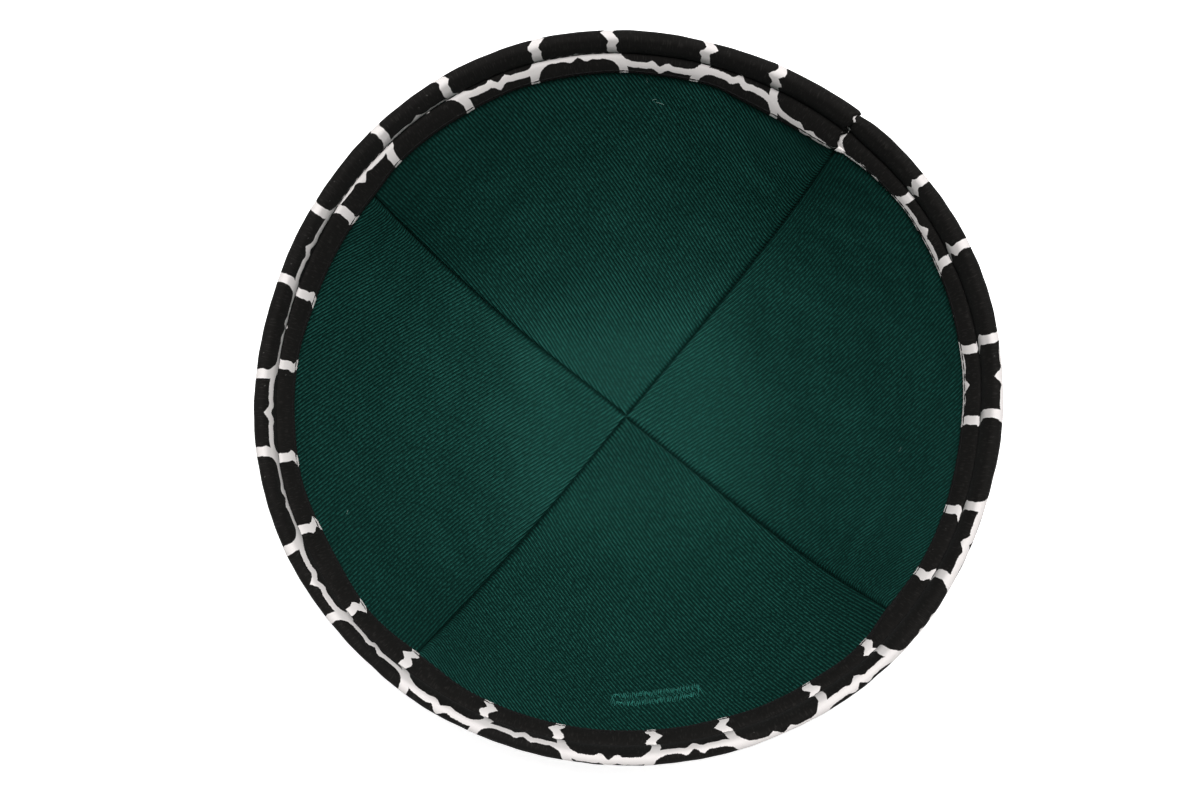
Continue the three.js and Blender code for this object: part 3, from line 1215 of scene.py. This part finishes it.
    def _mark_cloth(self, piece: Piece) -> None:
        """Writes the panel's UV map, with its threads dragged at the seams, and a mask of painted shade
        down in the seams.
        """
        flat, width = self._flatten(piece), self.columns + 1
        across, along = np.meshgrid(np.linspace(0, 1, width), np.linspace(0, 1, self.rows + 1))
        if self.side is Side.INSIDE:
            across = 1 - across
        up, share = self._grid(across.ravel(), along.ravel(), False)
        from_seam, rolled = self._from_seam(up, share), share < 0
        way = np.gradient(flat.reshape(self.rows + 1, width, 2), axis=0).reshape(-1, 2)
        way /= np.linalg.norm(way, axis=1)[:, None]
        strong = smooth(up, -45, -2)
        held = self.hook_least + (1 - self.hook_least) * strong
        drag = self.hook * held * rolled * np.exp(-from_seam / (0.8 + 1.7 * strong))
        write_uv(piece, flat - drag[:, None] * way)
        # A mask of painted shade down in the seam, wider on the rolled side and varying with the stitches.
        painted_seam_shade_mask = piece.data.attributes.new("painted_seam_shade_mask", "FLOAT", "POINT")
        dark = np.where(rolled, *self.painted_seam_shade_widths) * (1 + 0.3 * np.cos(2 * math.pi * up / self.stitch))
        painted_seam_shade_mask.data.foreach_set("value", bump(from_seam, dark))

    def build_panel(self, number: int) -> Piece:
        """One panel as a closed wall of cloth.

        Args:
            number: 1 to 4, against the clock from +X.

        Returns:
            The undressed piece.
        """
        piece = cut_cloth(f"{self.name}_{number}", self.columns, self.rows, self._lay(number))
        self._mark_cloth(piece)
        thicken(piece, self.wall)
        return piece

    def sew_seams(self, name: str) -> Piece:
        """The threads that show down in the four seams.

        Args:
            name: the piece's name.

        Returns:
            The undressed piece.
        """
        up = np.arange(3.0 - self.form.to_crown, -0.5, self.stitch) + self.stitch / 2
        seams = PANEL_ANGLE * (np.arange(PANELS) + 0.5)
        up, seam = (grid.ravel() for grid in np.meshgrid(up, seams))
        deep, shallow = self.seam_dip + 0.06, self.seam_dip - 0.62
        at = self.form.place(up, self.out - self.side.value * deep, seam)
        turn = np.degrees(0.5 / np.maximum(up + self.form.to_crown, 0.5))
        beside = self.form.place(up + 0.35, self.out - self.side.value * shallow, seam + turn)
        face = self.form.place(up, self.out + self.side.value, seam) - at
        threads = StitchRow(length=0.8, width=0.24, height=0.22, dive=0.05)
        return threads.sew(name, at, beside - at, face)

    def dress(
        self,
        material: Material,
        slot: Slot,
        others: Mapping[int, Material] = MappingProxyType({}),
    ) -> list[Piece]:
        """All four panels, dressed, in place of the plain solids.

        Args:
            material: what they are made of.
            slot: which of the part's materials that is.
            others: the panels that are made of another one, by number.

        Returns:
            The pieces.
        """
        pieces = []
        for number in range(1, PANELS + 1):
            cloth = others.get(number, material)
            piece = self.build_panel(number)
            pieces.append(finish_piece(piece, cloth, slot, [f"{self.node}_{number}"]))
        return pieces


@dataclass(frozen=True)
class Lint:
    """A few pale hairs caught on the lining.

    Attributes:
        lining: the cloth that they lie on.
        width: how thick a hair is.
        hairs: for each one the angle round the cap, the length along the wall above the mouth,
            its turn from the way up the wall in degrees, and its length.
        lift: how far the hairs' middles stand off the cloth, before their ends bend up.
    """

    lining: ClothPanels
    width: float = 0.07
    hairs: tuple[tuple[float, float, float, float], ...] = (
        (81.0, -2.8, 5.0, 2.2),
        (78.3, -10.2, 75.0, 2.6),
        (79.4, -9.2, 110.0, 1.1),
        (196.0, -13.0, 40.0, 1.6),
        (345.0, -21.0, 65.0, 1.3),
    )
    lift: float = 0.12

    def build(self) -> Piece:
        """All the hairs as one undressed piece."""
        pieces = []
        low, high = self.lift, 0.6
        spots = ((0, 0, low), (0.5, 0, low), (0, 0.4, low), (0, 0, high))
        for angle, up, turn, length in self.hairs:
            at, above, beside, proud = (
                self.lining.place(up + rise, angle + round_by, lift)[None]
                for rise, round_by, lift in spots
            )
            tilt = math.radians(turn)
            along = math.cos(tilt) * (above - at) + math.sin(tilt) * (beside - at)
            hair = StitchRow(length, self.width, self.width, -self.lift, sides=5, rings=8)
            pieces.append(hair.sew("lining_lint", at, along, proud - at))
        return join(pieces, "lining_lint")


@dataclass
class Binding:
    """The strip of trellis cloth folded over the rim, from its lap round to its lap.

    Attributes:
        form: the cap's shape.
        inner_band: from the strip's inner edge to the groove.
        roll_lean: how much steeper than the wall the roll stands, in degrees.
        roll_rise: from the groove to where the roll turns over.
        roll_thickness: the roll's own thickness.
        outer_band: from the groove down to the strip's outer edge.
        face: the inner band's distance inside the lining's face.
        wall: the cloth's thickness.
        lap_at: where the strip's upper end lies, in degrees.
        lap_under: how far the other end runs on under it, in degrees.
        lap_step: how much the upper end stands out.
        lap_length: how far round that height fades away.
        lap_edge: how fast that height falls away at the end itself.
        lap_sink: how deep the other end lies under it.
        stitch: the stitch length.
        stitch_inset: how far the edge stitches lie in from the strip's inner edge.
        edge_pull: how much the cloth dips between the edge stitches.
        groove_pull: how much it dips between the groove's.
        wrinkle: the height of its short wrinkles.
        lump: the height of its long lumps.
        pattern_pitch: half the lattice's repeat.
        pattern_radius: the radius at which the print runs true.
        pattern_start: the print's place at the strip's upper end.
        columns: faces round the rim.
        rows: faces across the strip.
        edge_level: the height over the mouth that inner_edge is measured from.
        grain: the printed lattice line's height above the inner edge, at angles round the cap.
        taken: how much more of the print the inner band shows than it is wide, which is cloth
            taken up in the groove.
        slip: how far the print has slipped round the rim, in degrees.
        roll_slip: how much further it has slipped on the roll, in degrees.
        inner_edge: how far the strip's inner edge lies above the mouth, which it crosses unevenly.
    """

    form: CapForm
    inner_band: float = 6.3
    roll_lean: float = 18.0
    roll_rise: float = 5.2
    roll_thickness: float = 2.9
    outer_band: float = 4.0
    face: float = 1.2
    wall: float = 0.45
    lap_at: float = 45.4
    lap_under: float = 4.0
    lap_step: float = 0.5
    lap_length: float = 14.0
    lap_edge: float = 0.35
    lap_sink: float = 0.45
    stitch: float = 2.45
    stitch_inset: float = 1.15
    edge_pull: float = 0.03
    groove_pull: float = 0.05
    wrinkle: float = 0.06
    lump: float = 0.13
    pattern_pitch: float = 20.45
    pattern_radius: float = 84.6
    pattern_start: float = 29.1
    columns: int = 770
    rows: int = 62
    edge_level: float = 0.4
    grain: Table = (
        (45.4, -0.4), (51.4, 0.2), (60.4, 2.4), (74.4, 4.1), (96.4, 4.8), (112.4, 5.8), (129.4, 6.9),
        (142.4, 7.8), (154.4, 8.8), (170.4, 9.4), (197.4, 10.1), (225.4, 11.8), (253.4, 13.1),
        (280.4, 14.1), (299.4, 15.1), (325.4, 15.9), (340.4, 16.3), (357.4, 17.0), (383.4, 19.9),
        (412.0, 20.8),
    )
    taken: Table = (
        (45, 0.0), (112, 0.0), (141, 0.3), (180, 0.7), (240, 0.7), (264, 0.2), (330, 0.5),
        (355, 2.8), (384, 1.8), (400, 1.5), (405, 0.3), (412, 0.0),
    )
    slip: Table = (
        (45, 0.25), (69, 0.1), (93, -0.15), (107, -0.22), (128, 0.0), (141, 0.25), (163, 0.6),
        (190, 0.8), (212, 1.15), (252, 1.5), (268, 1.75), (280, 1.65), (302, 1.5), (324, 1.0),
        (336, 0.65), (351, 0.7), (363, 0.4), (390, 0.42), (412, 0.6),
    )
    roll_slip: Table = (
        (45, 0.3), (69, 0.35), (100, 0.5), (141, 0.75), (160, 0.55), (185, 0.5), (205, 0.9),
        (245, 1.05), (262, 0.7), (275, 0.3), (297, 0.7), (324, 1.1), (336, 1.2), (355, 0.8),
        (378, 0.85), (395, 0.6), (412, 0.3),
    )
    inner_edge: Table = (
        (-1, 0.3), (4, 0.2), (9, 0.5), (14, 0.85), (19, 1.1), (24, 1.5), (29, 1.6), (34, 1.3),
        (39, 0.85), (43, -0.2), (45, -1.0), (49, -2.4), (54, -2.7), (59, -2.4), (64, -1.5),
        (69, 0.1), (79, 0.0), (84, 0.3), (94, -0.1), (104, 0.0), (114, -0.55), (129, -0.45),
        (134, -1.85), (139, -1.75), (144, -1.4), (149, -1.05), (159, -0.85), (164, 0.0),
        (174, 0.1), (189, -0.2), (194, -0.7), (199, -1.25), (204, -1.2), (209, -0.7),
        (214, 0.2), (219, -0.5), (224, -1.7), (229, -1.1), (234, 0.1), (249, 0.6), (264, 0.6),
        (279, 0.7), (284, 1.1), (299, 1.3), (304, 1.65), (309, 1.2), (314, -0.6), (319, -0.45),
        (324, 0.3), (334, 0.35), (339, 0.0), (349, 0.25),
    )

    @property
    def sweep(self) -> float:
        """How far round the cap the strip runs, in degrees."""
        return 360 + self.lap_under

    def section(self) -> Array:
        """The strip's section, x up the wall from the mouth and y out, evenly spaced."""
        lean = math.radians(self.roll_lean)
        rise = np.array([math.cos(lean), -math.sin(lean)])
        across = np.array([math.sin(lean), math.cos(lean)])
        half = self.roll_thickness / 2
        foot = np.array([self.inner_band + 0.45, -self.face - 0.15])
        shoulder = foot + self.roll_rise * rise
        centre = shoulder + half * across
        knee = np.array([self.inner_band, self.form.wall + 1.35])
        reach = centre - knee
        line = math.atan2(reach[1], reach[0]) + math.asin(half / np.linalg.norm(reach))
        turns = np.radians(np.linspace(-90 - self.roll_lean, math.degrees(line) + 90, 9))
        fold = centre + half * np.stack([np.cos(turns), np.sin(turns)], axis=-1)
        band = self.inner_band

        # Each point's length up the wall and distance out, from the strip's hidden inner edge,
        # down the inner band, along the groove, over the roll and down to its outer edge.
        points = [
            (1.7, -0.42),
            (0.5, -0.42),
            (0.03, -0.6),
            (0.1, -self.face + 0.16),
            (0.45, -self.face - 0.1),
            (0.9, -self.face + 0.02),
            (1.5, -self.face - 0.12),
            (band * 0.5, -self.face - 0.3),
            (band - 1.0, -self.face - 0.12),
            (band - 0.35, -self.face + 0.12),
            (band, -self.face + 0.62),
            (band + 0.3, -self.face + 0.1),
            (band + 0.75, -self.face - 0.42),
            *(foot + self.roll_rise * share * rise - 0.42 * math.sin(math.pi * share) * across
              for share in (0.3, 0.55, 0.8)),
            *fold,
            *(fold[-1] + (knee - fold[-1]) * share for share in (0.4, 0.75, 0.93)),
            (band - 0.6, knee[1]),
            (band - self.outer_band + 1.2, knee[1] + 0.03),
            (band - self.outer_band + 0.75, knee[1] - 0.16),
            (band - self.outer_band + 0.25, knee[1] - 0.02),
            (band - self.outer_band, knee[1] - 0.35),
            (band - self.outer_band + 0.5, knee[1] - 0.75),
        ]
        return even_curve(np.array(points), self.rows + 1)

    def _runs(self, section: Array) -> tuple[Array, float, float]:
        """The cloth's length along its section, and where the inner edge and the groove are on it."""
        steps = np.linalg.norm(np.diff(section, axis=0), axis=1)
        length = np.concatenate([[0], np.cumsum(steps)])
        face = section[:, 1] < 0
        edge = int(np.argmin(np.where(face, section[:, 0], 99)))
        near = face & (np.abs(section[:, 0] - self.inner_band) < 1)
        groove = int(np.argmax(np.where(near, section[:, 1], -99)))
        return length, float(length[edge]), float(length[groove])

    def _over_edge(self, x: Array, y: Array, angle: Array) -> Array:
        """How far a place on the inner band is drawn up or down by the uneven edge."""
        share = np.clip(1 - x / self.inner_band, 0, 1) * (y < 0)
        return (round_table(self.inner_edge, angle) - self.edge_level) * share

    def _lay(self, section: Array) -> Layer:
        """How the strip lies round the rim."""
        tangent = np.gradient(section, axis=0)
        tangent /= np.linalg.norm(tangent, axis=1)[:, None]
        normal = np.stack([tangent[:, 1], -tangent[:, 0]], axis=-1)
        length, _, groove = self._runs(section)
        index = np.arange(len(section))

        def lay(across: Array, along: Array) -> Array:
            """Points for the shares across the strip and along it."""
            shares = across * (len(section) - 1)
            x, y, nx, ny, run = (
                np.interp(shares, index, column)
                for column in (section[:, 0], section[:, 1], normal[:, 0], normal[:, 1], length)
            )
            turned = along * self.sweep
            round_rim = np.radians(turned) * self.form.mouth_length / 2
            fold = 0.28 * np.sin(run * 1.3) + 0.15 * np.sin(run * 2.9 + 1)
            angle = self.lap_at + turned + fold * np.exp(-round_rim / 2)
            lap = self.lap_step * np.exp(-round_rim / self.lap_length)
            lap *= 1 - 0.75 * bump(round_rim, self.lap_edge)
            under = self.lap_sink * smooth(turned, 356, 360.5)
            turns = 2 * math.pi * round_rim / self.stitch
            at_edge = self.edge_pull * np.cos(turns) * bump(x - 1.0, 0.7) * (y < 0)
            at_groove = self.groove_pull * np.cos(turns + 1) * bump(run - groove, 1.4)
            on_roll = smooth(run, groove + 1.0, groove + 3.5)
            wrinkle = self.wrinkle * drift(round_rim, 0.25 * run, 5.2, 6) * (0.35 + 0.5 * on_roll)
            lump = self.lump * drift(round_rim, 0.2 * run, 23, 7)
            height = lap - under - at_edge - at_groove + wrinkle + lump
            drawn = self._over_edge(x, y, angle)
            return self.form.place(x + nx * height + drawn, y + ny * height, angle)

        return lay

    def _print(self, section: Array) -> Layer:
        """Where each point of the strip lies on the printed cloth, in millimetres."""
        length, edge, groove = self._runs(section)
        index = np.arange(len(section))

        def place(across: Array, along: Array) -> Array:
            """Places on the print for the shares across the strip and along it."""
            angle = self.lap_at + along * self.sweep
            grain, taken, slip, roll_slip = (
                np.interp(angle, *np.array(table).T)
                for table in (self.grain, self.taken, self.slip, self.roll_slip)
            )
            shares = across * (len(section) - 1)
            x, y, run = (np.interp(shares, index, c) for c in (section[:, 0], section[:, 1], length))
            slipped = slip + roll_slip * smooth(run, groove, groove + 3)
            u = np.radians(angle - self.lap_at - slipped) * self.pattern_radius - self.pattern_start
            on_band = 1 - smooth(run, groove - 0.9, groove + 0.3)
            v = run - edge + self._over_edge(x, y, angle) - grain - taken * on_band
            return np.stack([u, v + self.pattern_pitch / 2], axis=-1)

        return place

    def sew(self, name: str, at_groove: bool) -> Piece:
        """One row of stitches round the strip.

        Args:
            name: the piece's name.
            at_groove: in the groove, or else along the inner edge.

        Returns:
            The undressed piece.
        """
        section = self.section()
        lay = self._lay(section)
        length, edge, groove = self._runs(section)
        run = groove if at_groove else edge + self.stitch_inset
        share = np.interp(run, length, np.linspace(0, 1, len(section)))
        count = int(math.radians(self.sweep) * self.form.mouth_length / 2 / self.stitch)
        along = (np.arange(count) + 0.5) / count * (1 - self.lap_under / self.sweep)
        level = np.full(count, share)
        at = lay(level, along)
        ahead = lay(level, along + 1e-4) - lay(level, along - 1e-4)
        across = lay(level + 0.012, along) - lay(level - 0.012, along)
        out = np.cross(across, ahead)
        out /= np.linalg.norm(out, axis=1)[:, None]
        tilt = ahead / np.linalg.norm(ahead, axis=1)[:, None] + 0.05 * across
        lift = 0.05 if at_groove else 0.07
        row = StitchRow(length=2.6, width=0.28, height=0.26, dive=0.03)
        return row.sew(name, at + lift * out, tilt, out)

    def build(self) -> Piece:
        """The folded strip as a closed wall of cloth."""
        section = self.section()
        lay, printed = self._lay(section), self._print(section)
        piece = cut_cloth("binding_strip", self.rows, self.columns, lay)
        rows, columns = np.meshgrid(
            np.linspace(0, 1, self.rows + 1), np.linspace(0, 1, self.columns + 1)
        )
        write_uv(piece, printed(rows.ravel(), columns.ravel()))
        thicken(piece, self.wall)
        return piece


def even_curve(points: Array, count: int) -> Array:
    """A smooth curve through points, as evenly spaced ones.

    Args:
        points: rows of x, y that the curve passes through.
        count: how many points to give back.

    Returns:
        Rows of x, y at equal lengths along the curve.
    """
    ends = np.vstack([2 * points[0] - points[1], points, 2 * points[-1] - points[-2]])
    t = np.linspace(0, 1, 12, endpoint=False)[:, None]
    walked = []
    for a, b, c, d in zip(ends, ends[1:], ends[2:], ends[3:]):
        walked.append(
            0.5 * (2 * b + (c - a) * t + (2 * a - 5 * b + 4 * c - d) * t**2
                   + (3 * b - a - 3 * c + d) * t**3)
        )
    path = np.vstack([*walked, points[-1:]])
    length = np.concatenate([[0], np.cumsum(np.linalg.norm(np.diff(path, axis=0), axis=1))])
    even = np.linspace(0, length[-1], count)
    curve = np.stack([np.interp(even, length, path[:, k]) for k in (0, 1)], axis=-1)
    curve[1:-1] = 0.25 * curve[:-2] + 0.5 * curve[1:-1] + 0.25 * curve[2:]
    return curve


@dataclass
class Studio:
    """The plain floor, the soft lights and the camera.

    Attributes:
        view_turn: how far the photo is turned against the cap's axes, in degrees.
        elevation: the camera's height angle over the rim, in degrees.
        distance: from the camera to the middle of the rim.
        rim_height: the rim's height over the floor.
        rim_scale: millimetres of rim for each pixel of the 1200 pixel image.
        rim_at: the rim's middle in that image, in pixels.
        image: that image's width and height.
        lamps: each light's name, place in metres, size in metres and power in watts.
        surroundings: how bright everything around is.
    """

    view_turn: float = 5.6
    elevation: float = 85.1
    distance: float = 750.0
    rim_height: float = 63.5
    rim_scale: float = 0.2276
    rim_at: tuple[float, float] = (628.0, 395.4)
    image: tuple[int, int] = (1200, 800)
    lamps: tuple[tuple[str, tuple[float, float, float], float, float], ...] = (
        ("overhead", (0.09, 0.27, 1.5), 0.6, 28.8),
        ("front", (-0.2, -0.4, 1.5), 1.2, 1.0),
    )
    surroundings: float = 0.04

    def camera(self) -> Piece:
        """The camera, looking down at the cap as the photo does."""
        turn, high = math.radians(self.view_turn), math.radians(self.elevation)
        right = Vector((math.cos(turn), -math.sin(turn), 0))
        back = Vector((-math.sin(turn), -math.cos(turn), 0)) * math.cos(high) + Vector(
            (0, 0, math.sin(high))
        )
        up = back.cross(right)
        off_x = (self.rim_at[0] - self.image[0] / 2) * self.rim_scale
        off_y = (self.image[1] / 2 - self.rim_at[1]) * self.rim_scale
        target = Vector((0, 0, self.rim_height)) - off_x * right - off_y * up
        place = (target + self.distance * back) * MM
        deselect()
        bpy.ops.object.camera_add(location=place)
        camera = bpy.context.object
        camera.name = "view"
        turned = Matrix((right, up, back)).transposed().to_4x4()
        camera.matrix_world = Matrix.Translation(place) @ turned
        lens = camera.data
        lens.sensor_width = 36
        lens.lens = 36 * self.distance / (self.rim_scale * self.image[0])
        lens.clip_start = 0.01
        lens.dof.use_dof = False
        bpy.context.scene.camera = camera
        return camera

    def floor(self, material: Material) -> Piece:
        """The pale floor."""
        deselect()
        bpy.ops.mesh.primitive_plane_add(size=6, location=(0, 0, 0))
        floor = bpy.context.object
        floor.name = "floor"
        floor.data.materials.append(material)
        return floor

    def lights(self) -> None:
        """A broad soft light overhead, a softer one from the front, and pale surroundings."""
        for name, place, size, power in self.lamps:
            deselect()
            bpy.ops.object.light_add(type="AREA", location=place)
            light = bpy.context.object
            light.name = name
            light.data.size = size
            light.data.energy = power
            light.rotation_euler = (-Vector(place)).to_track_quat("-Z", "Y").to_euler()
        world = bpy.data.worlds.new("pale_surroundings")
        world.use_nodes = True
        background = world.node_tree.nodes["Background"]
        background.inputs["Color"].default_value = (1, 1, 1, 1)
        background.inputs["Strength"].default_value = self.surroundings
        bpy.context.scene.world = world
        bpy.context.scene.view_settings.view_transform = "Standard"


def main() -> None:
    """Builds the cap's sub-assemblies in order, then the studio."""
    logging.basicConfig(level=logging.INFO, format="%(name)s: %(message)s")
    studio = Studio()
    studio.camera()
    effects = Effects()
    form = CapForm()
    twill = TwillFinish("lining_twill", effects, 0.62, 0.2).build()
    # The front panel's copy of the lining twill: deeper painted shade in its valleys and a slightly lighter
    # painted highlight on its crests.
    front_twill_painted_shade = TwillFinish(
        "front_twill_painted_shade", effects, 0.62, 0.27, crest=linear(29, 79, 70), valley=linear(1, 8, 7)
    ).build()
    trellis = TrellisFinish("trellis_cotton", effects, 0.82, 0.03).build()
    thread, teal, black, lint = (
        ThreadFinish(name, effects, roughness, relief, linear(*colour), light).build()
        for name, roughness, relief, colour, light in (
            ("seam_thread", 0.7, 0.02, (12, 40, 34), 1.6),
            ("slot_thread", 0.55, 0.02, (38, 104, 94), 1.7),
            ("binding_thread", 0.75, 0.02, (11, 11, 11), 1.5),
            ("pale_lint", 0.8, 0.01, (120, 150, 142), 1.4),
        )
    )
    slot = ClipSlot(form)
    lining = ClothPanels(
        form, Side.INSIDE, "lining_cloth", "lining_panel", 0.0, 0.45, crown_rise=1.9, slot=slot
    )
    # The slot's panel, at the front, takes the copy with the deeper painted shade.
    lining.dress(twill, Slot.LINING, {slot.panel: front_twill_painted_shade})
    finish_piece(lining.sew_seams("lining_seam_threads"), thread, Slot.LINING)
    finish_piece(slot.build(lining), teal, Slot.LINING)
    finish_piece(Lint(lining).build(), lint, Slot.LINING)
    shell = ClothPanels(
        form, Side.OUTSIDE, "shell_cloth", "shell_panel", form.wall - 0.21, 0.6, columns=64, rows=96
    )
    shell.dress(trellis, Slot.TRELLIS)
    binding = Binding(form)
    finish_piece(binding.build(), trellis, Slot.TRELLIS, ["rim_binding"])
    finish_piece(binding.sew("binding_edge_stitches", False), black, Slot.TRELLIS)
    finish_piece(binding.sew("binding_groove_stitches", True), black, Slot.TRELLIS)
    studio.floor(FloorFinish("pale_floor", effects, roughness=0.9).build())
    studio.lights()


if __name__ == "__main__":
    main()
